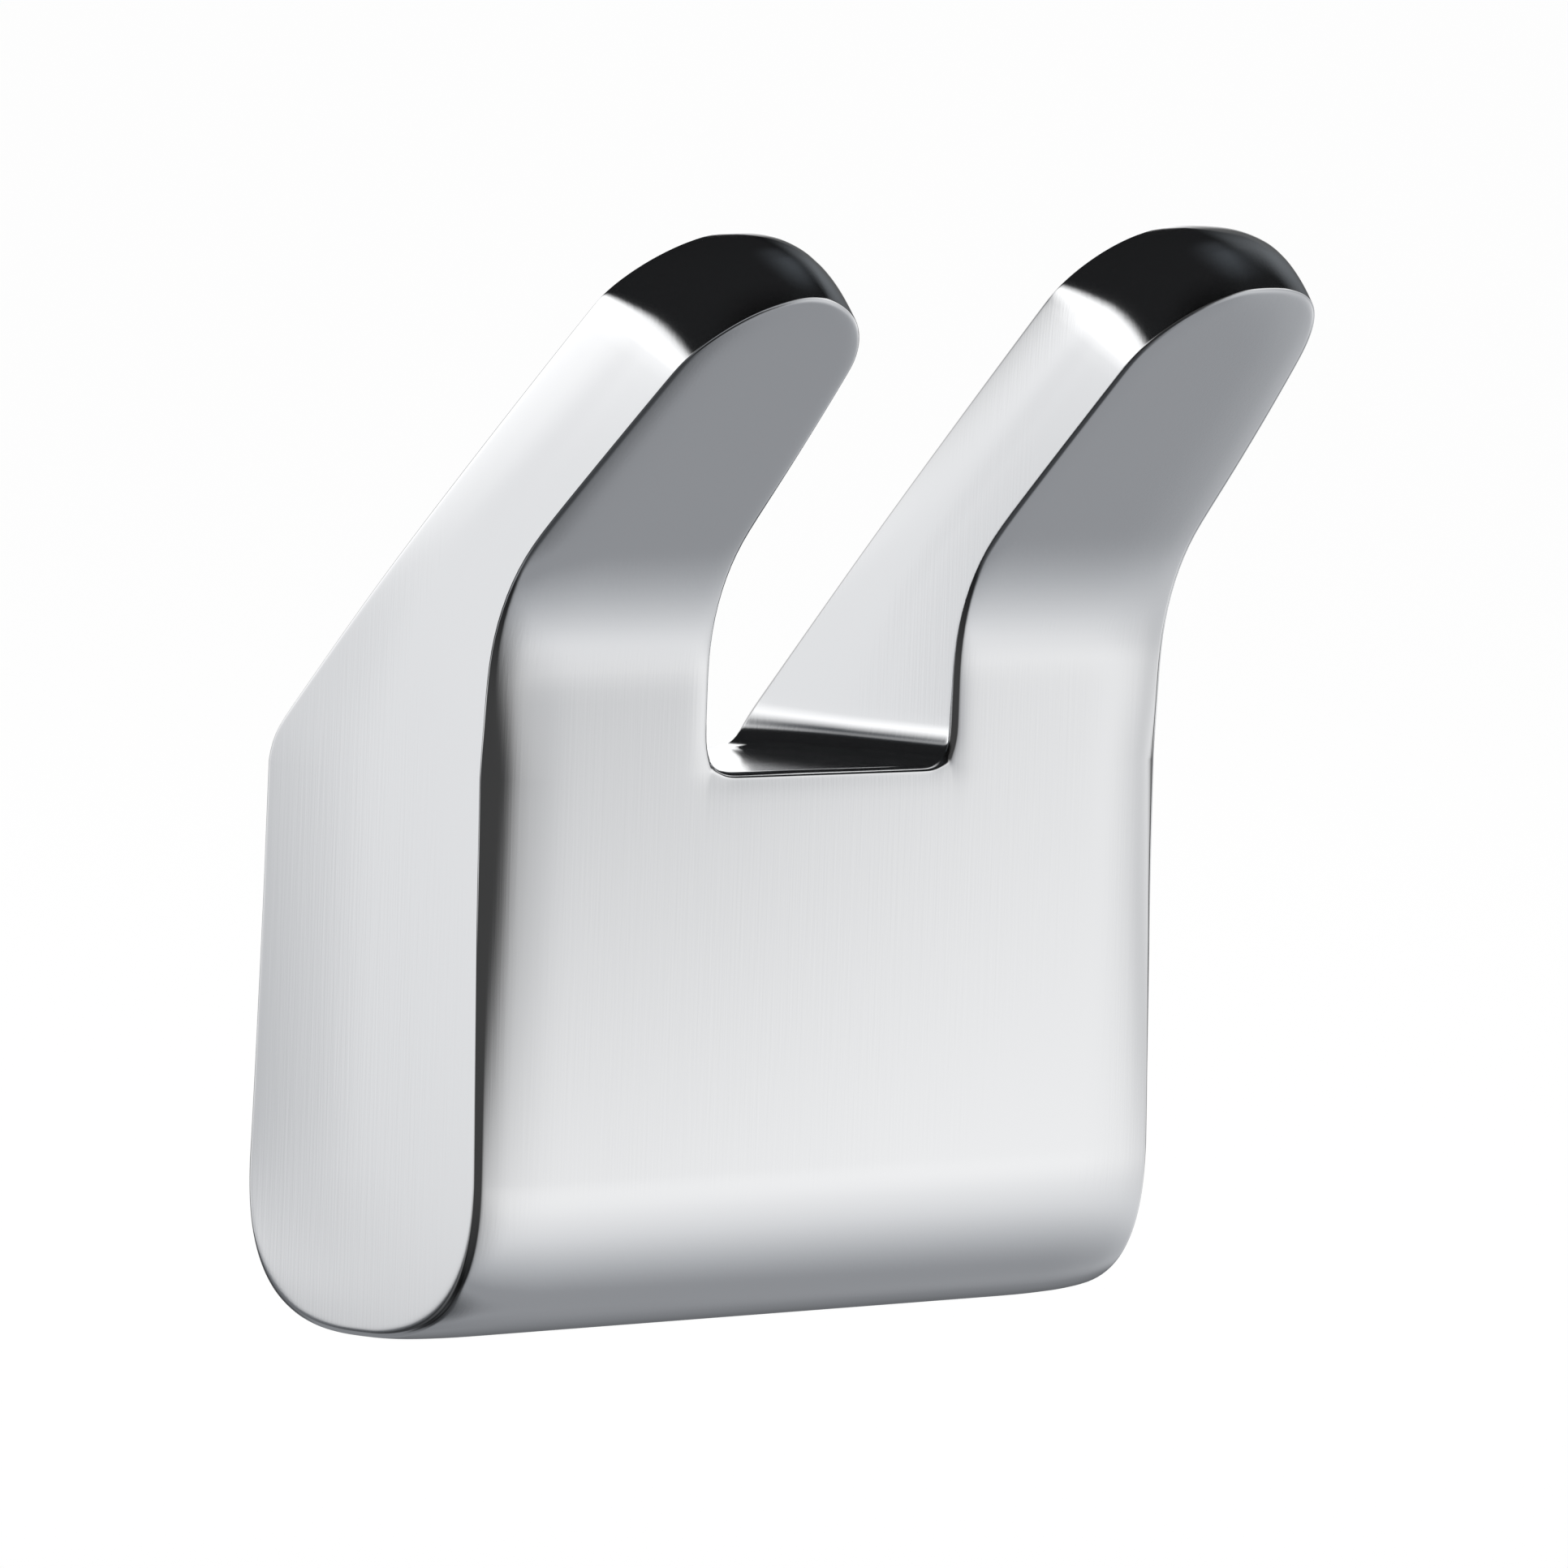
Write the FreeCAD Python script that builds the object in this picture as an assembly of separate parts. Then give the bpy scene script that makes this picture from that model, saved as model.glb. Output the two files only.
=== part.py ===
import FreeCAD, Part
import math
import os

# Driving dimensions of the hook body, in millimetres and degrees.
back_width = 60.0
body_thickness = 20.0
side_draft_deg = 3.0
lower_corner_radius = 7.0
underside_radius = 25.0
back_corner_radius = 4.0
back_lean_deg = 42.4
front_bend_radius = 13.6
front_lean_deg = 43.3

# Driving dimensions of the gap between the fingers and of the finger ends.
gap_width = 22.0
gap_floor_height = 35.7
back_corner_above_gap_floor = 0.9
front_bend_above_gap_floor = 11.1
finger_end_above_gap_floor = 39.9
gap_flare_deg = 1.4
gap_corner_radius = 2.0
finger_end_tilt_deg = 27.0
finger_end_rise = 10.2
finger_end_overlap = 0.6
soft_edge_radius = 0.8

# Driving dimensions of the recess in the back and of the bracket inside it.
recess_width = 36.0
recess_bottom = 10.0
recess_top = 31.0
recess_depth = 12.0
recess_corner_radius = 2.0
bracket_side_clearance = 0.4
bracket_plate_thickness = 3.0
bracket_boss_width = 12.0
bracket_boss_height = 17.0
bracket_boss_depth = 10.5
bracket_screw_spacing = 24.0
bracket_screw_height = 20.0
bracket_screw_hole_radius = 2.25
bracket_screw_head_radius = 4.2
bracket_countersink_depth = 1.9

# Driving dimensions of the set screw in the underside.
set_screw_radius = 2.0
set_screw_offset = 6.5
set_screw_recess = 1.2
set_screw_tip_length = 1.0
set_screw_seat_depth = 1.0
set_screw_socket_across_flats = 2.0
set_screw_socket_depth = 2.4

# Heights of the corner at the back, of the bend at the front and of the finger ends.
back_corner_height = gap_floor_height + back_corner_above_gap_floor
front_bend_height = gap_floor_height + front_bend_above_gap_floor
finger_end_reach = gap_floor_height + finger_end_above_gap_floor

# Length that only has to reach past the solid that it cuts.
reach = 200.0


def side_point(depth, height):
    """Point of the side view: depth runs out from the wall, height upward."""
    return FreeCAD.Vector(0, -depth, height)


def corner_centre_height():
    """Height of the centres of the two lower corner rounds above the lowest line."""
    half = body_thickness / 2 - lower_corner_radius
    rise = math.sqrt((underside_radius - lower_corner_radius) ** 2 - half ** 2)
    return underside_radius - rise


def arc_about(centre, radius, start_deg, end_deg):
    """Arc in the side view, with angles counted from straight out toward upward."""
    points = []
    for angle in (start_deg, (start_deg + end_deg) / 2, end_deg):
        turn = math.radians(angle)
        depth = centre[0] + radius * math.cos(turn)
        points.append(side_point(depth, centre[1] + radius * math.sin(turn)))
    return Part.Arc(*points).toShape()


def line_between(first, second):
    return Part.makeLine(side_point(*first), side_point(*second))


def side_outline():
    """Closed side view: flat back, rounded foot, upright front and a leaning finger."""
    low = corner_centre_height()
    half = body_thickness / 2
    small = lower_corner_radius
    meet = math.degrees(math.acos((half - small) / (underside_radius - small)))
    back_lean = math.radians(back_lean_deg)
    front_lean = math.radians(front_lean_deg)
    bend_run = front_bend_radius * math.tan(front_lean / 2)
    bend_start = (body_thickness, front_bend_height - bend_run)
    bend_end = (body_thickness + bend_run * math.sin(front_lean),
                front_bend_height + bend_run * math.cos(front_lean))
    length = finger_end_reach
    front_end = (bend_end[0] + length * math.sin(front_lean),
                 bend_end[1] + length * math.cos(front_lean))
    corner_run = back_corner_radius * math.tan(back_lean / 2)
    corner_low = (0.0, back_corner_height - corner_run)
    corner_high = (corner_run * math.sin(back_lean),
                   back_corner_height + corner_run * math.cos(back_lean))
    back_end = (length * 1.2 * math.sin(back_lean),
                back_corner_height + length * 1.2 * math.cos(back_lean))
    bend_centre = (body_thickness + front_bend_radius, bend_start[1])
    back_centre = (back_corner_radius, corner_low[1])
    edges = [
        line_between(corner_low, (0.0, low)),
        arc_about((small, low), small, 180, 180 + meet),
        arc_about((half, underside_radius), underside_radius, 180 + meet, 360 - meet),
        arc_about((body_thickness - small, low), small, 360 - meet, 360),
        line_between((body_thickness, low), bend_start),
        arc_about(bend_centre, front_bend_radius, 180, 180 - front_lean_deg),
        line_between(bend_end, front_end),
        line_between(front_end, back_end),
        line_between(back_end, corner_high),
        arc_about(back_centre, back_corner_radius, 180 - back_lean_deg, 180),
    ]
    return Part.Face(Part.Wire(edges))


def plan_limits():
    """Upright prism whose sides lean inward toward the viewer by the side draft."""
    half = back_width / 2
    lean = reach * math.tan(math.radians(side_draft_deg))
    corners = [
        FreeCAD.Vector(-half, 0, -reach),
        FreeCAD.Vector(half, 0, -reach),
        FreeCAD.Vector(half - lean, -reach, -reach),
        FreeCAD.Vector(lean - half, -reach, -reach),
    ]
    outline = Part.makePolygon(corners + corners[:1])
    return Part.Face(outline).extrude(FreeCAD.Vector(0, 0, 2 * reach))


def finger_gap():
    """Cutter for the gap: flared sides and a level floor with two rounded corners."""
    half = gap_width / 2
    flare = math.tan(math.radians(gap_flare_deg))
    height = reach - gap_floor_height
    corners = [
        FreeCAD.Vector(-half, 0, gap_floor_height),
        FreeCAD.Vector(half, 0, gap_floor_height),
        FreeCAD.Vector(half + height * flare, 0, reach),
        FreeCAD.Vector(-half - height * flare, 0, reach),
    ]
    outline = Part.makePolygon(corners + corners[:1])
    cutter = Part.Face(outline).extrude(FreeCAD.Vector(0, -2 * reach, 0))
    cutter.translate(FreeCAD.Vector(0, reach, 0))
    floor_edges = []
    for edge in cutter.Edges:
        at_floor = abs(edge.BoundBox.ZMax - gap_floor_height) < 0.01
        if at_floor and edge.BoundBox.YLength > reach:
            floor_edges.append(edge)
    return cutter.makeFillet(gap_corner_radius, floor_edges)


def end_plane_point(across, along):
    """Point across the object and along the line that climbs square to the end's sweep."""
    tilt = math.radians(finger_end_tilt_deg)
    return FreeCAD.Vector(across, -along * math.sin(tilt), along * math.cos(tilt))


def finger_end_cutter(side):
    """Waste above one rounded finger end: a block with a half oval taken out of its foot."""
    tilt = math.radians(finger_end_tilt_deg)
    sweep = FreeCAD.Vector(0, -math.cos(tilt), -math.sin(tilt)) * reach
    level = finger_end_reach - finger_end_rise
    flare = (level - gap_floor_height) * math.tan(math.radians(gap_flare_deg))
    forward = (level + finger_end_rise / 2) * math.sin(tilt)
    inner_side = gap_width / 2 + flare
    outer_side = back_width / 2 - forward * math.tan(math.radians(side_draft_deg))
    middle = side * (inner_side + outer_side) / 2
    half_width = (outer_side - inner_side) / 2 + finger_end_overlap
    outer = end_plane_point(middle - half_width, level)
    inner = end_plane_point(middle + half_width, level)
    top = end_plane_point(middle, finger_end_reach)
    centre = end_plane_point(middle, level)
    if finger_end_rise > half_width:
        oval = Part.Ellipse(top, inner, centre)
        arc = Part.Arc(oval, -math.pi / 2, math.pi / 2).toShape()
    else:
        oval = Part.Ellipse(inner, top, centre)
        arc = Part.Arc(oval, 0, math.pi).toShape()
    margin = 4.0
    far = 3 * finger_end_reach
    low_outer = end_plane_point(middle - half_width - margin, level)
    low_inner = end_plane_point(middle + half_width + margin, level)
    high_outer = end_plane_point(middle - half_width - margin, far)
    high_inner = end_plane_point(middle + half_width + margin, far)
    edges = [
        arc,
        Part.makeLine(outer, low_outer),
        Part.makeLine(low_outer, high_outer),
        Part.makeLine(high_outer, high_inner),
        Part.makeLine(high_inner, low_inner),
        Part.makeLine(low_inner, inner),
    ]
    outline = Part.Wire(Part.__sortEdges__(edges))
    waste = Part.Face(outline)
    waste.translate(sweep * -0.5)
    return waste.extrude(sweep)


def turn_across(blank, edge):
    """Angle between the two faces that meet along an edge, in degrees."""
    middle = edge.valueAt((edge.FirstParameter + edge.LastParameter) / 2)
    normals = []
    for face in blank.ancestorsOfType(edge, Part.Face):
        place = face.Surface.parameter(middle)
        normals.append(face.normalAt(*place))
    if len(normals) < 2:
        return 0.0
    return math.degrees(normals[0].getAngle(normals[1]))


def soft_edges(blank):
    """Edges with a real corner, apart from the ones that lie flat on the wall."""
    chosen = []
    for edge in blank.Edges:
        on_wall = edge.BoundBox.YMin > -0.01
        if not on_wall and turn_across(blank, edge) > 25:
            chosen.append(edge)
    return chosen


def hook_blank():
    """The cast form before its back is hollowed: profile, draft, gap and finger ends."""
    profile = side_outline()
    profile.translate(FreeCAD.Vector(-back_width / 2, 0, 0))
    blank = profile.extrude(FreeCAD.Vector(back_width, 0, 0))
    blank = blank.common(plan_limits())
    blank = blank.cut(finger_gap())
    for side in (-1, 1):
        blank = blank.cut(finger_end_cutter(side))
    return blank


def upright_box(low, high):
    """Box between two opposite corners."""
    size = [high[k] - low[k] for k in range(3)]
    return Part.makeBox(size[0], size[1], size[2], FreeCAD.Vector(*low))


def recess():
    """Space in the back that takes the bracket, with rounded corners at its four sides."""
    half = recess_width / 2
    space = upright_box((-half, -recess_depth, recess_bottom), (half, 1.0, recess_top))
    corners = []
    for edge in space.Edges:
        if edge.BoundBox.YLength > recess_depth:
            corners.append(edge)
    return space.makeFillet(recess_corner_radius, corners)


def upright_round(radius, height, low):
    """Upright round bar in the line of the set screw."""
    foot = FreeCAD.Vector(0, -set_screw_offset, low)
    return Part.makeCylinder(radius, height, foot)


def hook_body():
    """Cast body: blank with soft edges, a recess in its back and a screw hole below it."""
    blank = hook_blank()
    body = blank.makeFillet(soft_edge_radius, soft_edges(blank))
    body = body.cut(recess())
    screw_hole = upright_round(set_screw_radius, recess_bottom + 2.0, -1.0)
    return body.cut(screw_hole).removeSplitter()


def boss_underside():
    return recess_top - bracket_boss_height


def screw_head_cone(centre):
    """Cone and hole of one wall screw, opening toward the viewer."""
    front = -bracket_plate_thickness
    inward = FreeCAD.Vector(0, 1, 0)
    hole = Part.makeCylinder(bracket_screw_hole_radius, 2 * bracket_plate_thickness,
                             centre + FreeCAD.Vector(0, 1.5 * front, 0), inward)
    cone = Part.makeCone(bracket_screw_head_radius, bracket_screw_hole_radius,
                         bracket_countersink_depth,
                         centre + FreeCAD.Vector(0, front, 0), inward)
    return hole.fuse(cone)


def wall_bracket():
    """Plate on the wall with two screw holes and a boss that the set screw bears on."""
    half = recess_width / 2 - bracket_side_clearance
    low = recess_bottom + bracket_side_clearance
    plate = upright_box((-half, -bracket_plate_thickness, low), (half, 0.0, recess_top))
    corners = []
    for edge in plate.Edges:
        if abs(edge.BoundBox.YLength - bracket_plate_thickness) < 0.01:
            corners.append(edge)
    plate = plate.makeFillet(recess_corner_radius + bracket_side_clearance, corners)
    boss_half = bracket_boss_width / 2
    boss = upright_box((-boss_half, -bracket_boss_depth, boss_underside()),
                       (boss_half, 0.0, recess_top))
    bracket = plate.fuse(boss)
    seat = upright_round(set_screw_radius, set_screw_seat_depth, boss_underside())
    bracket = bracket.cut(seat)
    for side in (-1, 1):
        centre = FreeCAD.Vector(side * bracket_screw_spacing / 2, 0, bracket_screw_height)
        bracket = bracket.cut(screw_head_cone(centre))
    return bracket.removeSplitter()


def hexagon_bar(across_flats, height, low):
    """Upright six-sided bar in the line of the set screw."""
    corner = across_flats / math.sqrt(3)
    points = []
    for step in range(7):
        turn = math.radians(60 * step)
        points.append(FreeCAD.Vector(corner * math.cos(turn),
                                     corner * math.sin(turn) - set_screw_offset, low))
    return Part.Face(Part.makePolygon(points)).extrude(FreeCAD.Vector(0, 0, height))


def set_screw():
    """Headless screw from the foot of the body up into the seat in the boss."""
    top = boss_underside() + set_screw_seat_depth
    shank_top = top - set_screw_tip_length
    shank = upright_round(set_screw_radius, shank_top - set_screw_recess, set_screw_recess)
    tip = Part.makeCone(set_screw_radius, set_screw_radius - set_screw_tip_length / 2,
                        set_screw_tip_length,
                        FreeCAD.Vector(0, -set_screw_offset, shank_top))
    screw = shank.fuse(tip)
    socket = hexagon_bar(set_screw_socket_across_flats, set_screw_socket_depth + 1.0,
                         set_screw_recess - 1.0)
    return screw.cut(socket).removeSplitter()


def save(shape, name):
    """Write one piece, with the origin on the wall midway between the two wall screws."""
    solid = shape.Solids[0]
    solid.translate(FreeCAD.Vector(0, 0, -bracket_screw_height))
    solid.exportStep("parts/" + name + ".step")
    box = solid.BoundBox
    print(name, solid.isValid(), len(shape.Solids), round(solid.Volume, 1),
          [round(v, 2) for v in (box.XMin, box.XMax, box.YMin, box.YMax, box.ZMin, box.ZMax)])


os.makedirs("parts", exist_ok=True)
save(hook_body(), "hook_body")
save(wall_bracket(), "wall_bracket")
save(set_screw(), "set_screw")
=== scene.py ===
import math

import bpy
import numpy as np
from mathutils import Matrix, Vector


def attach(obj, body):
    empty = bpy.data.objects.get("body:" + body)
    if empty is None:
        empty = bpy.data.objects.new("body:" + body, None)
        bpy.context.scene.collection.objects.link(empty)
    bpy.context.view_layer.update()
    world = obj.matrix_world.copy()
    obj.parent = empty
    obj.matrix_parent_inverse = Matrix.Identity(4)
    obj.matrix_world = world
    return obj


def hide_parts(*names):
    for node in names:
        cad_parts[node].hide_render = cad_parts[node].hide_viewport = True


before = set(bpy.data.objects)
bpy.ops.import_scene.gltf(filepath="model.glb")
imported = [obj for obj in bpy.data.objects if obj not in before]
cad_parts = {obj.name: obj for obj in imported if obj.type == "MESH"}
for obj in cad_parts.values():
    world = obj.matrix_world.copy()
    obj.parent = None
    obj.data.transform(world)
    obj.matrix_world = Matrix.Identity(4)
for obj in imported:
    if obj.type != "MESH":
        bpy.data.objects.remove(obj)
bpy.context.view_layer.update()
print("stage 1: frame loaded")

# Sizes of the cast body in millimetres and degrees. A pair is for the left and the right
# finger, and a roll-off is its depth, its length and its power.
bodySizes = {
    "halfWidth": 30.78,
    "thickness": 19.91,
    "draftDeg": (5.0, 2.3),
    "footHeight": 10.86,
    "footPower": 2.73,
    "backCornerHeight": 36.6,
    "backCornerRadius": 4.0,
    "backLeanDeg": 42.4,
    "bendHeight": 46.8,
    "bendRadius": 13.6,
    "frontLeanDeg": 43.3,
    "gapHalf": 10.7,
    "gapFloor": 35.36,
    "gapFlare": (4.15, 1.2),
    "outerLean": (1.8, 5.38),
    "leanHeight": 42.0,
    "leanTiltDeg": 40.0,
    "gapCorner": 2.0,
    "endTiltDeg": 29.0,
    "endReach": (76.0, 76.88),
    "endRise": 6.65,
    "endPower": (1.8, 3.0),
    "endCrown": 1.45,
    "edgeRound": 0.42,
    "frontRollOff": ((0.3, 0.85, 1.0, 0.7), 9.0, 4.0),
    "gapRollOff": (0.15, 2.5, 3.0),
    "sideRollOff": ((0.03, 0.18), 11.0, 2.0),
    "rollHeights": (8.0, 0.35),  # under and over the gap's floor, where frontRollOff changes
    "sideRollDepths": (0.3, 0.7),  # shares of the thickness between which sideRollOff grows
    "sideRollFoot": (0.3, 1.2),  # shares of the foot's height over which it sets in
    "fadeRadii": 3,  # edge radii over which one face takes up the other's fall
    "shareBlend": (0.7, 0.3, 0.6, 0.02),  # width, start, length and least of the tip's mix
    "recessHalf": 18.0,
    "recessBottom": 10.0,
    "recessTop": 31.0,
    "recessDepth": 12.0,
    "screwRadius": 2.0,
    "screwOffset": 6.5,
    "originHeight": 20.0,
    "smoothLevels": 1,
}


def curveAt(points, lengths, share):
    # Point of a polyline at a share of its length: straight steps between samples.
    return np.stack([np.interp(share * lengths[-1], lengths, points[:, k]) for k in (0, 1)], -1)


def clusterLines(spans):
    # Sorted lattice lines: every value of the given lists, without repeats.
    return np.unique(np.round(np.concatenate([np.asarray(s, float) for s in spans]), 5))


def roundedCorner(distance, radius):
    # Quarter round met from one side: at distance d from the sharp corner the angle is
    # 45 degrees * (1 - d / radius); gives the new distance and the depth under the surface.
    angle = np.radians(45.0) * np.clip(1 - distance / radius, 0, 1)
    near = distance < radius
    along = np.where(near, radius - radius * np.sin(angle), distance)
    depth = np.where(near, radius - radius * np.cos(angle), 0.0)
    return along, depth


def rollOff(distance, drop, length, power):
    # Slow fall of a polished face toward its edge: c * (1 - d / L)^n within the length L.
    return drop * np.clip(1 - distance / length, 0, 1) ** power


def smoothStep(x):
    # Soft change from 0 to 1: 3 x^2 - 2 x^3.
    return x * x * (3 - 2 * x)


def squareToDisc(a, b):
    # Square to disc: x = a sqrt(1 - b^2 / 2), y = b sqrt(1 - a^2 / 2).
    return a * np.sqrt(1 - b * b / 2), b * np.sqrt(np.clip(1 - a * a / 2, 0, 1))


def fullness(a, b, power):
    # Disc to a fuller or slimmer oval |x|^n + |y|^n = 1: the factor for a point at the angle
    # f is 1 + ((|cos f|^n + |sin f|^n)^(-1/n) - 1) (a^2 + b^2).
    angle = np.arctan2(b, a)
    rim = (np.abs(np.cos(angle)) ** power + np.abs(np.sin(angle)) ** power) ** (-1 / power)
    return 1 + (rim - 1) * np.hypot(a, b) ** 2


def sideCurves(s):
    # Front and back lines of the side view above the gap's floor, as depth and height:
    # upright, then an arc tangent to both, then a straight line at the lean angle.
    frontLean, backLean = math.radians(s["frontLeanDeg"]), math.radians(s["backLeanDeg"])
    run = s["bendRadius"] * math.tan(frontLean / 2)
    turn = np.linspace(0, frontLean, 60)
    front = np.stack([s["thickness"] + s["bendRadius"] * (1 - np.cos(turn)),
                      s["bendHeight"] - run + s["bendRadius"] * np.sin(turn)], -1)
    front = np.vstack([[s["thickness"], s["gapFloor"]], front])
    cornerRun = s["backCornerRadius"] * math.tan(backLean / 2)
    turn = np.linspace(0, backLean, 40)
    back = np.stack([s["backCornerRadius"] * (1 - np.cos(turn)),
                     s["backCornerHeight"] - cornerRun + s["backCornerRadius"] * np.sin(turn)], -1)
    return front, back, frontLean, backLean


def endLevelPoint(last, lean, level, tilt):
    # Point where a straight line at the lean angle reaches a level that is measured square
    # to the tilt: t = (level - q0) / cos(lean - tilt).
    start = last[0] * math.sin(tilt) + last[1] * math.cos(tilt)
    travel = (np.asarray(level) - start) / math.cos(lean - tilt)
    return np.stack([last[0] + travel * math.sin(lean), last[1] + travel * math.cos(lean)], -1)


# Places of the lattice lines in millimetres, closer together where the surface turns. The
# graded ones count edge radii from an edge inward, rising and ending count as in latticeLines.
latticeSteps = {
    "graded": (0, 1 / 3, 2 / 3, 1, 1.6, 2.6, 4.2, 6.4),
    "middle": (0, 1, 3, 4.5, 6.5, 8),
    "besideGap": (1.3, 0.6),
    "finger": (15.2, 16.6, 19.3, 20.8, 22.4, 24.1, 25.9),
    "besideRecessSide": (-0.4, 0, 0.4),
    "besideRecess": (-0.3, 0, 0.3),
    "through": (4.1, 5.7, 7, 9.7, 10.6, 16.4),
    "besideScrew": (-2, -1, 0, 1, 2),
    "foot": (3.9, 5.2, 6.5, 7.8, 9),
    "upright": (12, 14.5, 17, 19.5, 22, 24.5, 27, 29),
    "rising": (0.03, 0.06, 0.1, 0.15, 0.2, 0.26, 0.32, 0.38, 0.44, 0.5, 0.57, 0.65, 0.74,
               0.83, 0.92, 1.0),
    "ending": (1.13, 1.26, 1.39, 1.52),
    "endShare": 0.125,  # of the edge radius, as a height line's value
}


def gradedLines(edge, inward, r):
    # Lines beside an edge, edge + inward * r * k, whose spacing grows with the step k.
    return edge + inward * r * np.array(latticeSteps["graded"])


def latticeLines(s):
    # Lattice lines across the width, through the thickness and up the body. Above the
    # gap's floor the height lines count 0..1 to the root of the rounded end, then 1..2.
    r = s["edgeRound"]
    half, gap, recess = s["halfWidth"], s["gapHalf"], s["recessHalf"]
    steps = {name: np.array(places) for name, places in latticeSteps.items()}
    acrossHalf = clusterLines([
        steps["middle"], [s["screwRadius"], gap - s["gapCorner"]], gap - steps["besideGap"],
        gradedLines(gap, 1, r), steps["finger"], recess + steps["besideRecessSide"],
        gradedLines(half, -1, r),
    ])
    across = np.concatenate([-acrossHalf[:0:-1], acrossHalf])
    thick = s["thickness"]
    screwMid = thick - s["screwOffset"]
    wall = thick - s["recessDepth"]
    through = clusterLines([
        gradedLines(0, 1, r), steps["through"], wall + steps["besideRecess"],
        screwMid + steps["besideScrew"], gradedLines(thick, -1, r),
    ])
    floor = s["gapFloor"]
    low = clusterLines([
        gradedLines(0, 1, r), steps["foot"], s["recessBottom"] + steps["besideRecess"],
        steps["upright"], s["recessTop"] + steps["besideRecess"],
        gradedLines(floor, -1, r)[:-1],
    ])
    tip = gradedLines(2, -1, r * latticeSteps["endShare"])[::-1]
    return across, through, low, steps["rising"], np.concatenate([steps["ending"], tip])


def edgeMoves(s, toSide, toWrap, t, w, outerShare):
    # Moves in from the side faces and from the front, foot and back, which together make
    # the quarter round and the slow roll-off on both sides of each edge. Beside the outer
    # edges the front's drop grows from the foot to the gap's floor and is smaller again on
    # the fingers; beside the gap it is small, and outerShare mixes the two around the
    # rounded end. The sides fall mostly toward the back.
    r = s["edgeRound"]
    onWrap, onSide = toWrap < 1e-6, toSide < 1e-6
    newSide, sink = roundedCorner(toSide, r)
    newWrap, sinkSide = roundedCorner(toWrap, r)
    drops, length, power = s["frontRollOff"]
    gapDrop, gapLength, gapPower = s["gapRollOff"]
    floor = s["gapFloor"]
    under, over = s["rollHeights"]
    frontDrop = np.interp(w, [s["footHeight"], floor - under, floor, floor + over], drops)
    outerFall = rollOff(toSide, frontDrop, length, power)
    gapFall = rollOff(toSide, gapDrop, gapLength, gapPower)
    frontDrop = gapDrop + outerShare * (frontDrop - gapDrop)
    frontFall = gapFall + outerShare * (outerFall - gapFall)
    sideDrops, sideLength, sidePower = s["sideRollOff"]
    sideDrop = np.interp(t / s["thickness"], s["sideRollDepths"], sideDrops)
    setIn = np.interp(w, [s["footHeight"] * share for share in s["sideRollFoot"]], [0, 1])
    sideDrop = sideDrops[0] + (sideDrop - sideDrops[0]) * setIn
    reach = s["fadeRadii"] * r
    fade, fadeSide = np.clip(1 - toSide / reach, 0, 1), np.clip(1 - toWrap / reach, 0, 1)
    sideMove = np.where(onWrap, newSide - toSide + sideDrop * fade, 0.0)
    wrapMove = np.where(onWrap, sink + frontFall, 0.0)
    sideMove = np.where(onSide, sinkSide + rollOff(toWrap, sideDrop, sideLength, sidePower),
                        sideMove)
    wrapMove = np.where(onSide & ~onWrap, newWrap - toWrap + frontDrop * fadeSide, wrapMove)
    return sideMove, wrapMove


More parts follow.
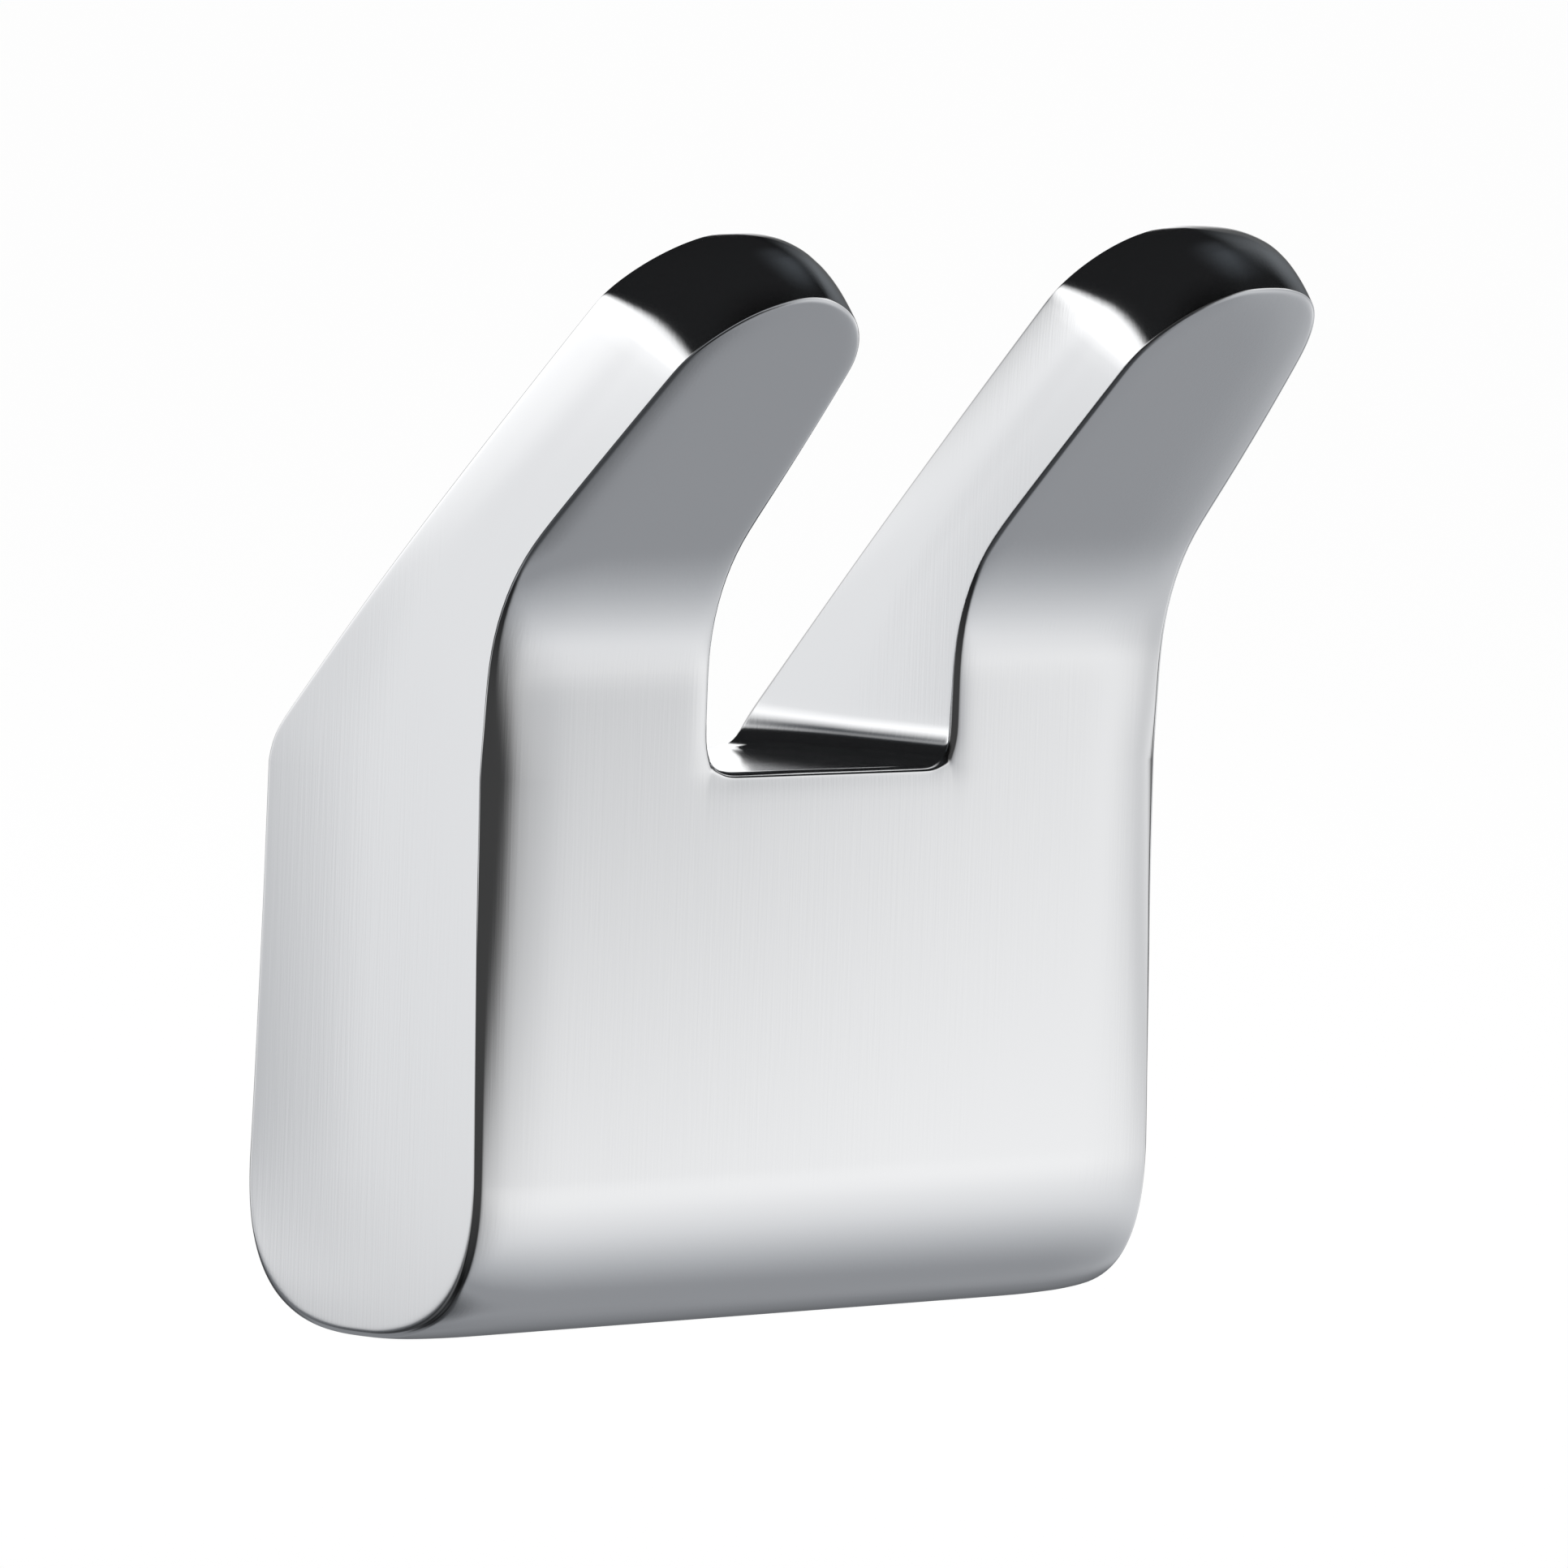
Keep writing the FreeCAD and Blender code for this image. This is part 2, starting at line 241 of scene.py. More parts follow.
def bodyPoints(s, u, t, w):
    # Lattice to space, all arrays at once. u is the place across, t the depth behind the
    # front, w the height line's value.
    thick, half, gap, floor = s["thickness"], s["halfWidth"], s["gapHalf"], s["gapFloor"]
    foot, n = s["footHeight"], s["footPower"]
    side, size = np.where(u < 0, -1.0, 1.0), np.abs(u)
    rise = np.clip(w - floor, 0, 2)
    isUpper = w > floor
    reach = (half - gap) / 2

    # finger outline seen square to its end, as a disc of radius 1, and the foot likewise
    across, up = squareToDisc((size - gap) / reach - 1, np.clip(rise - 1, 0, 1))
    endPower = np.where(u < 0, *s["endPower"])
    endStretch = np.where(across > 0, fullness(across, up, endPower), 1.0)
    behind, down = squareToDisc(2 * t / thick - 1, np.clip((w - foot) / foot, -1, 0))
    rim, wrap = np.hypot(across, up), np.hypot(behind, down)
    ring = np.hypot(size - gap, floor - w)
    toSide = np.where(size < gap, np.minimum(half - size, floor - w),
                      np.minimum(half - size, ring))
    toSide = np.where(isUpper, (1 - rim) * reach, toSide)
    isOuter = half - size <= np.where(size < gap, floor - w, ring)
    width, start, length, least = s["shareBlend"]
    blend = width * np.clip((rise - start) / length, least, 1)
    outerShare = np.where(isUpper, np.clip(0.5 + across / blend / 2, 0, 1), isOuter)
    sideMove, wrapMove = edgeMoves(s, toSide, (1 - wrap) * thick / 2, t, w,
                                   smoothStep(outerShare))

    shrink = 1 - wrapMove / (thick / 2) / np.maximum(wrap, 1e-6)
    behind, down = behind * shrink, down * shrink
    shrink = np.where(isUpper, 1 - sideMove / reach / np.maximum(rim, 1e-6), 1.0)
    across, up = across * shrink * endStretch, up * shrink * endStretch
    isFloor = (size < gap) & ~isOuter & ~isUpper
    isRing = (size >= gap) & ~isOuter & ~isUpper
    newSize = np.where(isOuter & ~isUpper, size - sideMove, size)
    newW = np.where(isFloor, w - sideMove, w)
    diagonal = ring < 1e-6
    partU = np.where(diagonal, math.sqrt(0.5), (size - gap) / np.maximum(ring, 1e-6))
    partW = np.where(diagonal, math.sqrt(0.5), (floor - w) / np.maximum(ring, 1e-6))
    newSize = np.where(isRing, size + partU * sideMove, newSize)
    newW = np.where(isRing, w - partW * sideMove, newW)

    # side view above the gap's floor
    tilt = math.radians(s["endTiltDeg"])
    front, back, frontLean, backLean = sideCurves(s)
    reachNow = np.where(u < 0, *s["endReach"])
    rootLevel = min(s["endReach"]) - s["endRise"]
    front = np.vstack([front, endLevelPoint(front[-1], frontLean, rootLevel, tilt)])
    back = np.vstack([[0.0, floor - 1.0], back,
                      endLevelPoint(back[-1], backLean, rootLevel, tilt)])
    frontLength = np.concatenate([[0], np.cumsum(np.hypot(*np.diff(front, axis=0).T))])
    backLength = np.concatenate([[0], np.cumsum(np.hypot(*np.diff(back, axis=0).T))])
    startBack = 1.0 / backLength[-1]
    lift = np.clip(rise, 0, 1)
    frontPoint = curveAt(front, frontLength, lift)
    backPoint = curveAt(back, backLength, startBack + (1 - startBack) * lift)
    crown = s["endCrown"] * (1 - behind ** 2)
    level = rootLevel + up * (reachNow - rootLevel + crown - s["endCrown"] / 2)
    isEnd = (rise > 1)[..., None]
    frontPoint = np.where(isEnd, endLevelPoint(front[-1], frontLean, level, tilt), frontPoint)
    backPoint = np.where(isEnd, endLevelPoint(back[-1], backLean, level, tilt), backPoint)
    share = (behind + 1) / 2
    upper = frontPoint + share[..., None] * (backPoint - frontPoint)

    # foot, as a fuller oval
    stretch = fullness(behind, down, n)
    depth = thick / 2 * (1 - behind * stretch)
    height = np.where(w < foot, foot + down * stretch * foot, newW)
    depth = np.where(isUpper, upper[..., 0], depth)
    height = np.where(isUpper, upper[..., 1], height)

    # across: the gap's side with its flare and the outer side with its draft
    lean = math.radians(s["leanTiltDeg"])
    above = np.clip((depth - thick) * math.sin(lean) + (height - floor) * math.cos(lean), 0, None)
    growth = (above / s["leanHeight"]) ** 2
    innerSide = gap + np.where(u < 0, *s["gapFlare"]) * growth
    outerSide = half - depth * np.where(u < 0, *np.tan(np.radians(s["draftDeg"])))
    outerSide = outerSide - np.where(u < 0, *s["outerLean"]) * growth
    across = np.where(isUpper, across, (newSize - gap) / reach - 1)
    middle, reachX = (innerSide + outerSide) / 2, (outerSide - innerSide) / 2
    x = np.where(newSize < gap, newSize, middle + reachX * across)
    return np.stack([side * x, -depth, height], -1)


def roundGapCorners(s, points):
    # Hollow round between gap floor and gap wall: points near the corner move toward the
    # gap by 0.293 R (1 - d / 1.15 R)^2, where d is their distance from the corner.
    x, y, z = points.T
    radius = s["gapCorner"]
    away = np.hypot(np.abs(x) - s["gapHalf"], z - s["gapFloor"])
    move = 0.293 * radius * np.clip(1 - away / (1.15 * radius), 0, 1) ** 2
    return np.stack([x - np.sign(x) * move, y, z + move], -1)


def roundScrewHole(s, points, u, t, w):
    # Square hole to round hole: a point at square distance m from the screw's line goes to
    # the same distance on a circle, and the change fades out from m = 1 to m = 2.
    x, y, z = points.T
    radius = s["screwRadius"]
    du = u / radius
    dt = (t - (s["thickness"] - s["screwOffset"])) / radius
    square = np.maximum(np.abs(du), np.abs(dt))
    circle = np.maximum(np.hypot(du, dt), 1e-6)
    near = np.clip((2.2 - square) / 1.2, 0, 1) * (w <= s["recessBottom"])
    roundX = radius * du * square / circle
    roundY = radius * dt * square / circle - s["screwOffset"]
    newX = x + near * (roundX - x)
    newY = y + near * (roundY - y)
    depthShare = np.clip(np.abs(-newY / (s["thickness"] / 2) - 1), 0, 1)
    under = s["footHeight"] * (1 - (1 - depthShare ** s["footPower"]) ** (1 / s["footPower"]))
    newZ = np.where((w <= 0) & (near > 0), under, z)
    return np.stack([newX, newY, newZ], -1)


def solidCells(s, across, through, upward):
    # Cells of the lattice that the casting fills: all but the gap, the recess for the
    # bracket and the hole of the set screw.
    cu, ct, cw = np.meshgrid((across[1:] + across[:-1]) / 2, (through[1:] + through[:-1]) / 2,
                             (upward[1:] + upward[:-1]) / 2, indexing="ij")
    screwMid = s["thickness"] - s["screwOffset"]
    solid = ~((np.abs(cu) < s["gapHalf"]) & (cw > s["gapFloor"]))
    recess = (np.abs(cu) < s["recessHalf"]) & (ct > s["thickness"] - s["recessDepth"])
    recess &= (cw > s["recessBottom"]) & (cw < s["recessTop"])
    hole = (np.abs(cu) < s["screwRadius"]) & (np.abs(ct - screwMid) < s["screwRadius"])
    hole &= cw < s["recessBottom"]
    return solid & ~recess & ~hole


def outerQuads(solid):
    # Faces between a filled and an empty cell, as corner numbers, wound to face outward.
    counts = tuple(n + 1 for n in solid.shape)
    ids = np.arange(np.prod(counts)).reshape(counts)
    padded = np.pad(solid, 1)
    quads = []
    for axis in range(3):
        trim = [slice(1, -1)] * 3
        trim[axis] = slice(0, -1)
        before = padded[tuple(trim)]
        trim[axis] = slice(1, None)
        after = padded[tuple(trim)]
        second, third = (axis + 1) % 3, (axis + 2) % 3
        corners = []
        for stepTwo, stepThree in ((0, 0), (1, 0), (1, 1), (0, 1)):
            place = [slice(None)] * 3
            place[second] = slice(stepTwo, counts[second] - 1 + stepTwo)
            place[third] = slice(stepThree, counts[third] - 1 + stepThree)
            corners.append(ids[tuple(place)])
        ring = np.stack(corners, -1)
        quads.append(ring[before & ~after])
        quads.append(ring[after & ~before][:, ::-1])
    return np.concatenate(quads)


def hookMesh(s):
    # Cast body: the outer faces of the filled cells, each corner placed by bodyPoints.
    across, through, low, rising, ending = latticeLines(s)
    upward = np.concatenate([low, s["gapFloor"] + rising, s["gapFloor"] + ending])
    quads = outerQuads(solidCells(s, across, through, upward))
    used, faces = np.unique(quads, return_inverse=True)
    faces = faces.reshape(quads.shape)
    u, t, w = (g.ravel()[used] for g in np.meshgrid(across, through, upward, indexing="ij"))
    points = bodyPoints(s, u, t, w)
    points = roundGapCorners(s, points)
    points = roundScrewHole(s, points, u, t, w)
    points[:, 2] -= s["originHeight"]
    return points / 1000, faces


def meshObject(name, points, faces, levels):
    # Mesh object with smooth faces and, where levels is not 0, a subdivision surface.
    mesh = bpy.data.meshes.new(name)
    mesh.from_pydata(points.tolist(), [], faces.tolist())
    mesh.polygons.foreach_set("use_smooth", np.ones(len(mesh.polygons), bool))
    made = bpy.data.objects.new(name, mesh)
    bpy.context.scene.collection.objects.link(made)
    if levels:
        smooth = made.modifiers.new("smooth", "SUBSURF")
        smooth.levels = smooth.render_levels = levels
    return made


hookBody = meshObject("hookShell", *hookMesh(bodySizes), bodySizes["smoothLevels"])
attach(hookBody, "root")
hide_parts("hook_body")
print("stage 2: cast body made,", len(hookBody.data.polygons), "faces")


# Chrome plate with a faint upright grain.
chromeLook = {
    "colour": (0.87, 0.875, 0.885),
    "roughness": 0.1,
    "grainAcross": 5200.0,
    "grainAlong": 120.0,
    "grainStrength": 0.04,
    "grainHeight": 0.00005,
}


def chromeMaterial(look):
    # Metal whose fine bump is noise stretched upright: n(x a, y a, z b) with a >> b.
    made = bpy.data.materials.new("polishedChrome")
    made.use_nodes = True
    nodes, links = made.node_tree.nodes, made.node_tree.links
    shader = nodes["Principled BSDF"]
    shader.inputs["Metallic"].default_value = 1.0
    shader.inputs["Base Color"].default_value = (*look["colour"], 1)
    shader.inputs["Roughness"].default_value = look["roughness"]
    place = nodes.new("ShaderNodeTexCoord")
    stretch = nodes.new("ShaderNodeMapping")
    stretch.inputs["Scale"].default_value = (look["grainAcross"], look["grainAcross"],
                                             look["grainAlong"])
    grain = nodes.new("ShaderNodeTexNoise")
    grain.inputs["Scale"].default_value = 1.0
    bump = nodes.new("ShaderNodeBump")
    bump.inputs["Strength"].default_value = look["grainStrength"]
    bump.inputs["Distance"].default_value = look["grainHeight"]
    links.new(place.outputs["Object"], stretch.inputs["Vector"])
    links.new(stretch.outputs["Vector"], grain.inputs["Vector"])
    links.new(grain.outputs["Fac"], bump.inputs["Height"])
    links.new(bump.outputs["Normal"], shader.inputs["Normal"])
    return made


chrome = chromeMaterial(chromeLook)
hookBody.data.materials.append(chrome)

# Zinc plated bracket and darker set screw, both hidden behind the hook from the front.
fittingLook = {
    "wall_bracket": {"colour": (0.52, 0.53, 0.55), "roughness": (0.28, 0.42), "scale": 900.0},
    "set_screw": {"colour": (0.36, 0.36, 0.37), "roughness": (0.2, 0.34), "scale": 1600.0},
}


def fittingMaterial(name, look):
    # Metal whose roughness follows a fine noise: r = low + (high - low) n.
    made = bpy.data.materials.new(name)
    made.use_nodes = True
    nodes, links = made.node_tree.nodes, made.node_tree.links
    shader = nodes["Principled BSDF"]
    shader.inputs["Metallic"].default_value = 1.0
    shader.inputs["Base Color"].default_value = (*look["colour"], 1)
    place = nodes.new("ShaderNodeTexCoord")
    mottle = nodes.new("ShaderNodeTexNoise")
    mottle.inputs["Scale"].default_value = look["scale"]
    spread = nodes.new("ShaderNodeMapRange")
    spread.inputs["To Min"].default_value = look["roughness"][0]
    spread.inputs["To Max"].default_value = look["roughness"][1]
    links.new(place.outputs["Object"], mottle.inputs["Vector"])
    links.new(mottle.outputs["Fac"], spread.inputs["Value"])
    links.new(spread.outputs["Result"], shader.inputs["Roughness"])
    return made


for node, look in fittingLook.items():
    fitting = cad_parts[node]
    plating = fittingMaterial(node + "Metal", look)
    for place in range(len(fitting.material_slots)):
        fitting.material_slots[place].material = plating
print("stage 3: materials made")


# Surroundings that the metal mirrors. Each ramp lists height of the ray's direction and
# brightness: one for the front half, one for the back, mixed by the depth direction.
studio = {
    "evenStrength": 0.75,
    "frontRamp": ((-1.0, 0.04), (-0.88, 0.08), (-0.76, 0.31), (-0.7, 0.315), (-0.55, 0.5),
                  (-0.35, 0.76), (-0.22, 0.9), (-0.14, 1.02), (0.15, 1.02), (0.3, 1.0),
                  (0.42, 0.01)),
    "backRamp": ((-1.0, 0.22), (-0.6, 0.26), (-0.3, 0.15), (-0.18, 0.17), (-0.11, 0.86),
                 (0.0, 0.87), (0.09, 1.25), (0.38, 1.25), (0.46, 0.01)),
    "shadeTint": (0.93, 0.975, 1.05),
    "backFrom": 0.1,
    "backTo": 0.45,
    # direction, the products with it where the darkening starts and is full, brightness left
    "darkSides": (((-0.5, -0.863, -0.07), 0.28, 0.76, 0.05),  # the camera's side
                  ((-0.75, 0.1, -0.65), 0.74, 0.9, 0.2),  # low on the left
                  ((0.913, 0.203, 0.355), 0.83, 0.9, 0.08),  # right
                  ((0.0, 1.0, 0.0), 0.77, 0.88, 0.45)),  # far back
    "floorColour": (0.82, 0.82, 0.82),
    "floorRoughness": 0.9,
    "floorMissing": 0.37,
    "floorHeight": -0.058,
    "floorHalf": 60.0,
}


def rampNode(nodes, links, source, steps, tint):
    # Brightness by height: the height -1..1 is taken to 0..1, and each step is a stop whose
    # colour leans to the tint as it darkens, c = v (1 + (t - 1)(1 - v)).
    share = nodes.new("ShaderNodeMapRange")
    share.inputs["From Min"].default_value = -1.0
    share.inputs["From Max"].default_value = 1.0
    links.new(source, share.inputs["Value"])
    made = nodes.new("ShaderNodeValToRGB")
    stops = made.color_ramp.elements
    for number, (height, value) in enumerate(steps):
        stop = stops[number] if number < 2 else stops.new((height + 1) / 2)
        stop.position = (height + 1) / 2
        cool = [value * (1 + (part - 1) * (1 - min(value, 1.0))) for part in tint]
        stop.color = (*cool, 1)
    links.new(share.outputs["Result"], made.inputs["Fac"])
    return made.outputs["Color"]


def rangeNode(nodes, links, source, low, high, start, end):
    # Smooth step from start to end between the two values.
    made = nodes.new("ShaderNodeMapRange")
    made.interpolation_type = "SMOOTHSTEP"
    made.inputs["From Min"].default_value = low
    made.inputs["From Max"].default_value = high
    made.inputs["To Min"].default_value = start
    made.inputs["To Max"].default_value = end
    links.new(source, made.inputs["Value"])
    return made.outputs["Result"]


def mathNode(nodes, links, operation, first, second):
    # One operation on two values, of which the second may be a plain number.
    made = nodes.new("ShaderNodeMath")
    made.operation = operation
    links.new(first, made.inputs[0])
    if isinstance(second, float):
        made.inputs[1].default_value = second
    else:
        links.new(second, made.inputs[1])
    return made.outputs["Value"]


def sideNode(nodes, links, way, direction, low, high, dark):
    # Darkening of one side: 1 down to dark as the ray's product with the direction grows.
    facing = nodes.new("ShaderNodeVectorMath")
    facing.operation = "DOT_PRODUCT"
    facing.inputs[1].default_value = direction
    links.new(way.outputs["Generated"], facing.inputs[0])
    return rangeNode(nodes, links, facing.outputs["Value"], low, high, 1.0, dark)


def makeWorld(s):
    # Brightness on a mirror ray is mix(front(z), back(z), y) times the darkening of each dark
    # side. The camera sees plain white, and all other rays meet an even grey.
    world = bpy.data.worlds.new("studio")
    bpy.context.scene.world = world
    world.use_nodes = True
    nodes, links = world.node_tree.nodes, world.node_tree.links
    even = nodes["Background"]
    even.inputs["Color"].default_value = (1, 1, 1, 1)
    even.inputs["Strength"].default_value = s["evenStrength"]
    way = nodes.new("ShaderNodeTexCoord")
    parts = nodes.new("ShaderNodeSeparateXYZ")
    links.new(way.outputs["Generated"], parts.inputs["Vector"])
    front = rampNode(nodes, links, parts.outputs["Z"], s["frontRamp"], s["shadeTint"])
    back = rampNode(nodes, links, parts.outputs["Z"], s["backRamp"], s["shadeTint"])
    blend = nodes.new("ShaderNodeMixRGB")
    links.new(rangeNode(nodes, links, parts.outputs["Y"], s["backFrom"], s["backTo"], 0.0, 1.0),
              blend.inputs["Fac"])
    links.new(front, blend.inputs["Color1"])
    links.new(back, blend.inputs["Color2"])
    darkenings = [sideNode(nodes, links, way, *spec) for spec in s["darkSides"]]
    side = darkenings[0]
    for darkening in darkenings[1:]:
        side = mathNode(nodes, links, "MULTIPLY", side, darkening)
    path = nodes.new("ShaderNodeLightPath")
    isCamera = path.outputs["Is Camera Ray"]
    shown = mathNode(nodes, links, "MAXIMUM", side, isCamera)
    surround = nodes.new("ShaderNodeBackground")
    tone = nodes.new("ShaderNodeMixRGB")
    tone.inputs["Color2"].default_value = (1, 1, 1, 1)
    links.new(isCamera, tone.inputs["Fac"])
    links.new(blend.outputs["Color"], tone.inputs["Color1"])
    links.new(tone.outputs["Color"], surround.inputs["Color"])
    links.new(shown, surround.inputs["Strength"])
    seen = mathNode(nodes, links, "MAXIMUM", isCamera, path.outputs["Is Glossy Ray"])
    seen = mathNode(nodes, links, "MAXIMUM", seen, path.outputs["Is Transmission Ray"])
    choose = nodes.new("ShaderNodeMixShader")
    links.new(seen, choose.inputs["Fac"])
    links.new(even.outputs["Background"], choose.inputs[1])
    links.new(surround.outputs["Background"], choose.inputs[2])
    links.new(choose.outputs["Shader"], nodes["World Output"].inputs["Surface"])


def makeFloor(s):
    # Pale matt square of half width h at height z, clear from below. Rays of the camera
    # also get the white that the lit paint lacks, so the floor looks white and keeps the
    # shadow.
    h, z = s["floorHalf"], s["floorHeight"]
    mesh = bpy.data.meshes.new("floor")
    mesh.from_pydata([(-h, -h, z), (h, -h, z), (h, h, z), (-h, h, z)], [], [(0, 1, 2, 3)])
    made = bpy.data.objects.new("floor", mesh)
    bpy.context.scene.collection.objects.link(made)
    made.visible_glossy = False
    paint = bpy.data.materials.new("floorPaint")
    paint.use_nodes = True
    nodes, links = paint.node_tree.nodes, paint.node_tree.links
    shader = nodes["Principled BSDF"]
    shader.inputs["Base Color"].default_value = (*s["floorColour"], 1)
    shader.inputs["Roughness"].default_value = s["floorRoughness"]
    shader.inputs["Specular IOR Level"].default_value = 0.0
    shader.inputs["Emission Color"].default_value = (1, 1, 1, 1)
    path = nodes.new("ShaderNodeLightPath")
    seen = mathNode(nodes, links, "MAXIMUM", path.outputs["Is Camera Ray"],
                    path.outputs["Is Transmission Ray"])
    missing = mathNode(nodes, links, "MULTIPLY", seen, s["floorMissing"])
    links.new(missing, shader.inputs["Emission Strength"])
    clear = nodes.new("ShaderNodeBsdfTransparent")
    behind = nodes.new("ShaderNodeNewGeometry")
    choose = nodes.new("ShaderNodeMixShader")
    links.new(behind.outputs["Backfacing"], choose.inputs["Fac"])
    links.new(shader.outputs["BSDF"], choose.inputs[1])
    links.new(clear.outputs["BSDF"], choose.inputs[2])
    links.new(choose.outputs["Shader"], nodes["Material Output"].inputs["Surface"])
    mesh.materials.append(paint)
    return made


def makeShade(name, spec):
    # Grey card that only mirror rays meet, upright and facing the hook: see-through but for
    # the share strength * smoothstep(1 - r / radius) of a dark tone around its centre, in an
    # oval that is taller than wide by the factor tall. The centre lies at
    # from + distance * direction + sideways * s + upward * z.
    direction = Vector(spec["direction"]).normalized()
    sideways = direction.cross(Vector((0, 0, 1))).normalized() * -1
    upward = sideways.cross(direction) * -1
    moveSide, moveUp = spec["offset"]
    centre = Vector(spec["from"]) + direction * spec["distance"]
    centre += sideways * moveSide + upward * moveUp
    reach = spec["radius"]
    corners = [sideways * x * reach + upward * z * reach * spec["tall"] for x, z in
               ((-1, -1), (1, -1), (1, 1), (-1, 1))]
    mesh = bpy.data.meshes.new(name)
    mesh.from_pydata([centre + corner for corner in corners], [], [(0, 1, 2, 3)])
    mesh.uv_layers.new(name="card").data.foreach_set("uv", (0, 0, 1, 0, 1, 1, 0, 1))
    made = bpy.data.objects.new(name, mesh)
    bpy.context.scene.collection.objects.link(made)
    made.visible_camera = made.visible_diffuse = made.visible_shadow = False
    made.visible_transmission = False
    paper = bpy.data.materials.new(name + "Paper")
    paper.use_nodes = True
    nodes, links = paper.node_tree.nodes, paper.node_tree.links
    nodes.remove(nodes["Principled BSDF"])
    place = nodes.new("ShaderNodeTexCoord")
    away = nodes.new("ShaderNodeVectorMath")
    away.operation = "DISTANCE"
    away.inputs[1].default_value = (0.5, 0.5, 0.0)
    links.new(place.outputs["UV"], away.inputs[0])
    share = rangeNode(nodes, links, away.outputs["Value"], 0.0, 0.5, spec["strength"], 0.0)
    clear = nodes.new("ShaderNodeBsdfTransparent")
    dark = nodes.new("ShaderNodeEmission")
    dark.inputs["Color"].default_value = (*spec["tone"], 1)
    choose = nodes.new("ShaderNodeMixShader")
    links.new(share, choose.inputs["Fac"])
    links.new(clear.outputs["BSDF"], choose.inputs[1])
    links.new(dark.outputs["Emission"], choose.inputs[2])
    links.new(choose.outputs["Shader"], nodes["Material Output"].inputs["Surface"])
    mesh.materials.append(paper)


# Grey cards near the object: where the centre lies, how large the card is, how much it
# covers and its tone.
shades = {
    "shadeUpperLeft": {"from": (0, -0.02, 0.0), "direction": (0.697, -0.714, -0.05),
                       "distance": 0.28, "offset": (-0.045, 0.05), "radius": 0.115,
                       "tall": 1.0, "strength": 0.6, "tone": (0.2, 0.21, 0.23)},
    "shadeRight": {"from": (0, -0.02, 0.0), "direction": (0.94, -0.34, -0.07),
                   "distance": 0.28, "offset": (0.0, 0.0), "radius": 0.13,
                   "tall": 1.0, "strength": 0.42, "tone": (0.2, 0.21, 0.23)},
    "shadeCaps": {"from": (0, -0.036, 0.045), "direction": (0.42, -0.17, 0.89),
                  "distance": 0.28, "offset": (0.0, 0.0), "radius": 0.17,
                  "tall": 1.0, "strength": 1.0, "tone": (0.052, 0.058, 0.065)},
    "shadeGap": {"from": (0.0108, -0.01, 0.0155), "direction": (-0.61, 0.72, 0.33),
                 "distance": 0.2, "offset": (0.0, 0.0), "radius": 0.055,
                 "tall": 1.0, "strength": 1.0, "tone": (0.05, 0.055, 0.062)},
    "shadeTips": {"from": (0, -0.036, 0.045), "direction": (0.89, 0.2, 0.42),
                  "distance": 0.6, "offset": (0.0, 0.0), "radius": 0.36,
                  "tall": 1.0, "strength": 1.0, "tone": (0.14, 0.15, 0.16)},
    "shadeBack": {"from": (-0.03, -0.003, 0.012), "direction": (-0.79, 0.61, -0.07),
                  "distance": 0.28, "offset": (-0.026, -0.03), "radius": 0.04,
                  "tall": 2.4, "strength": 0.44, "tone": (0.2, 0.21, 0.23)},
}

# Soft boxes: where they stand, their size and their brightness. Only matt surfaces get
# their light, because the metal mirrors the world and the cards.
lamps = {
    "softBoxLeft": {"place": (-0.55, 0.55, 0.62), "width": 0.7, "height": 0.4,
                    "brightness": 0.35, "aim": (0, -0.02, 0.02), "mirrored": False},
    "softBoxRight": {"place": (0.70, 0.10, 0.78), "width": 0.5, "height": 0.3,
                     "brightness": 0.25, "aim": (0, -0.02, 0.04), "mirrored": False},
}


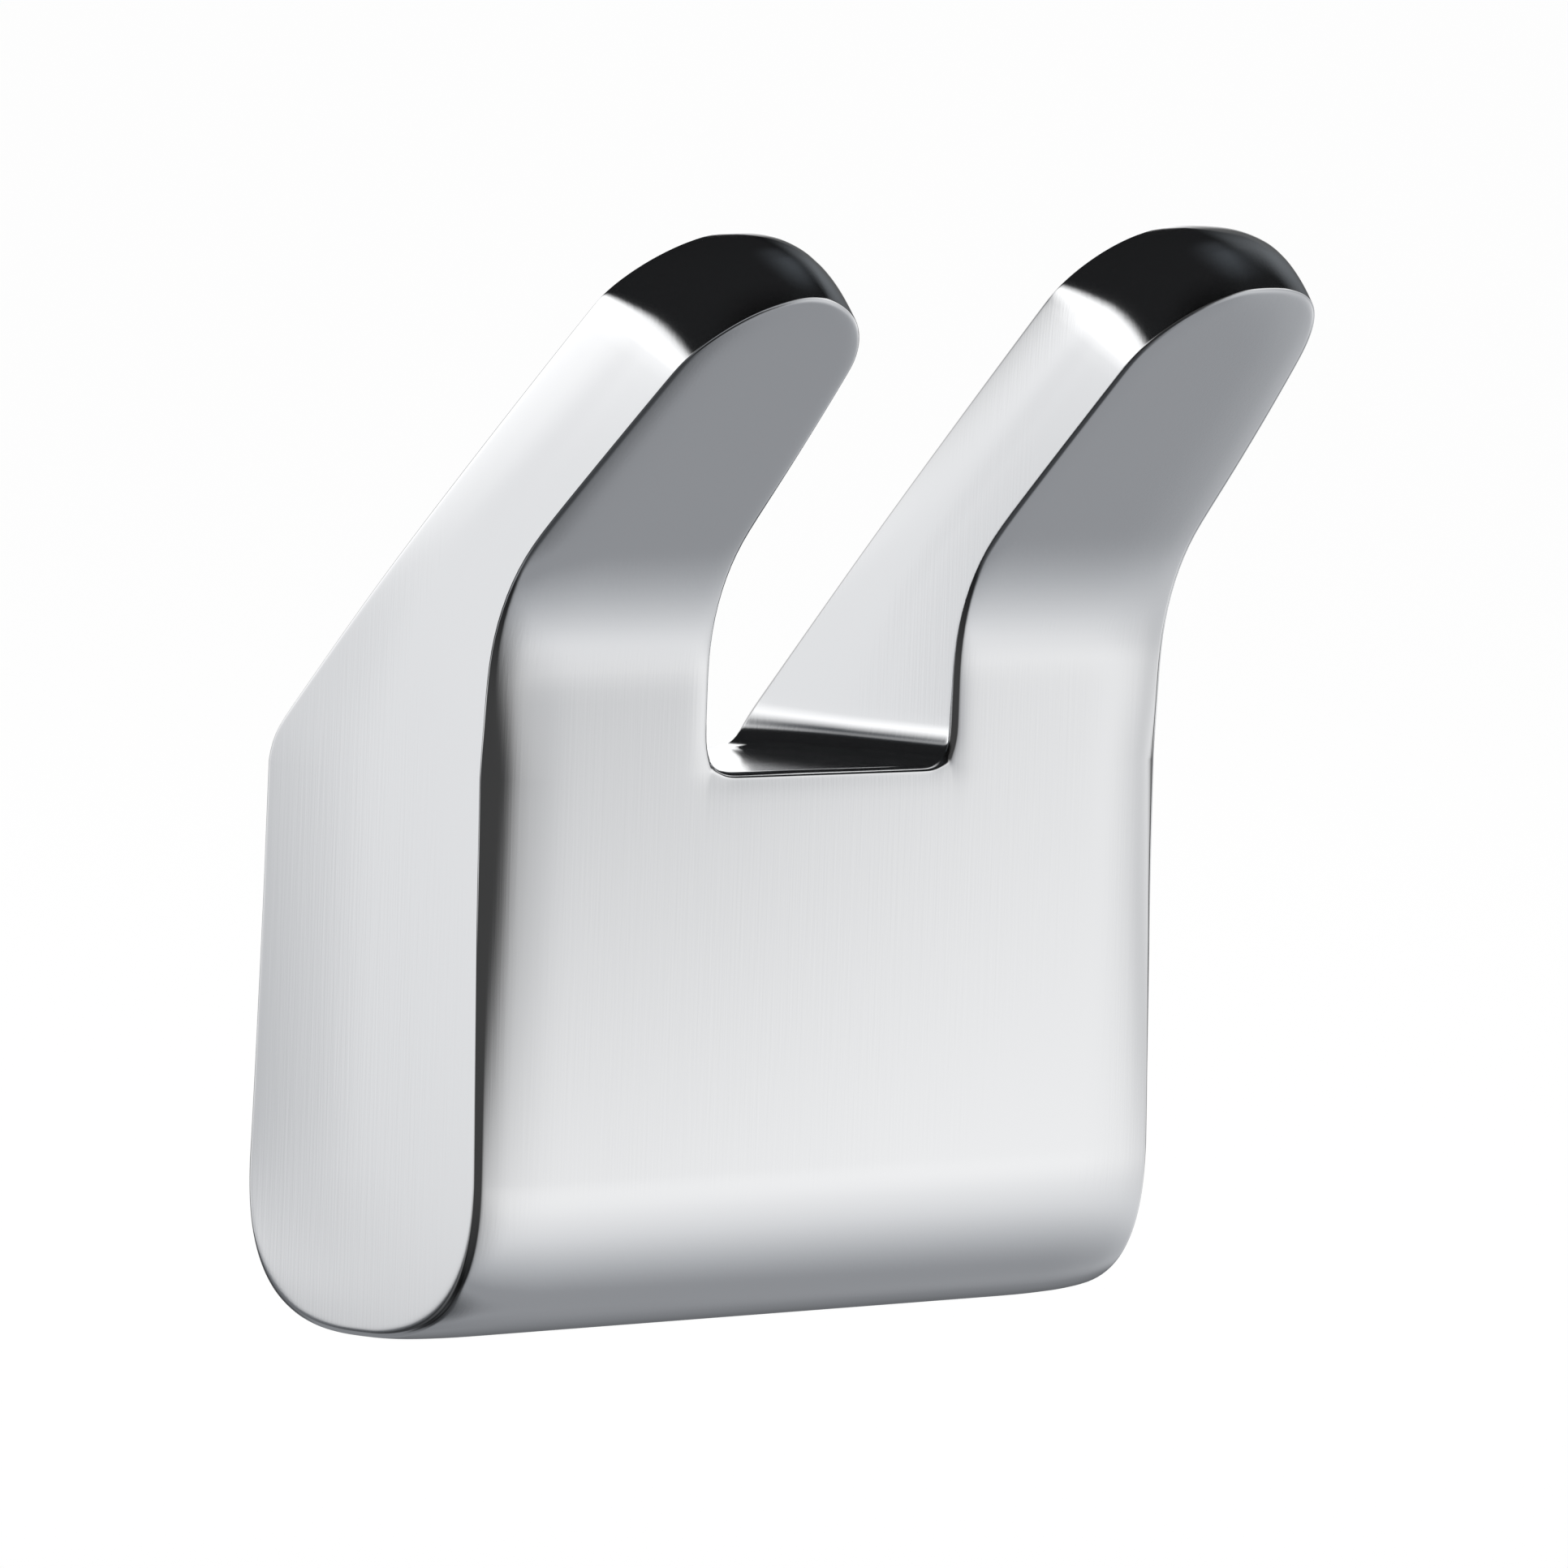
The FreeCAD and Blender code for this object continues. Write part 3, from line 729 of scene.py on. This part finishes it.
def makeLamp(name, spec):
    # Area lamp with the power P = pi * brightness * width * height, turned to its aim.
    light = bpy.data.lights.new(name, "AREA")
    light.shape = "RECTANGLE"
    light.size, light.size_y = spec["width"], spec["height"]
    light.energy = math.pi * spec["brightness"] * spec["width"] * spec["height"]
    made = bpy.data.objects.new(name, light)
    bpy.context.scene.collection.objects.link(made)
    place = Vector(spec["place"])
    turn = (place - Vector(spec["aim"])).to_track_quat("Z", "Y").to_matrix().to_4x4()
    made.matrix_world = Matrix.Translation(place) @ turn
    made.visible_camera = False
    made.visible_glossy = spec["mirrored"]


for name, spec in lamps.items():
    makeLamp(name, spec)
makeWorld(studio)
makeFloor(studio)
for name, spec in shades.items():
    makeShade(name, spec)
print("stage 4: studio made")


# Camera of the photograph: long lens, from the front left and slightly above.
cameraPlace = {
    "azimuthDeg": 44.309,
    "elevationDeg": 4.007,
    "rollDeg": 1.870,
    "lookAt": (-0.002155, -0.017805, 0.014312),
    "distance": 0.7763,
    "lens": 284.65,
    "sensorWidth": 36.0,
    "clip": (0.01, 200),
}


def placeCamera(place):
    # Camera at lookAt + distance * direction, turned about its own axis by the roll.
    a, e = math.radians(place["azimuthDeg"]), math.radians(place["elevationDeg"])
    roll = math.radians(place["rollDeg"])
    right = Vector((math.cos(a), -math.sin(a), 0))
    back = Vector((-math.sin(a) * math.cos(e), -math.cos(a) * math.cos(e), math.sin(e)))
    up = back.cross(right)
    rolledRight = math.cos(roll) * right + math.sin(roll) * up
    rolledUp = -math.sin(roll) * right + math.cos(roll) * up
    made = bpy.data.objects.new("photoCamera", bpy.data.cameras.new("photoCamera"))
    bpy.context.scene.collection.objects.link(made)
    made.data.sensor_width = place["sensorWidth"]
    made.data.lens = place["lens"]
    made.data.clip_start, made.data.clip_end = place["clip"]
    turn = Matrix((rolledRight, rolledUp, back)).transposed().to_4x4()
    spot = Vector(place["lookAt"]) + back * place["distance"]
    made.matrix_world = Matrix.Translation(spot) @ turn
    bpy.context.scene.camera = made


placeCamera(cameraPlace)
bpy.context.scene.view_settings.view_transform = "Standard"

print("last stage: done")
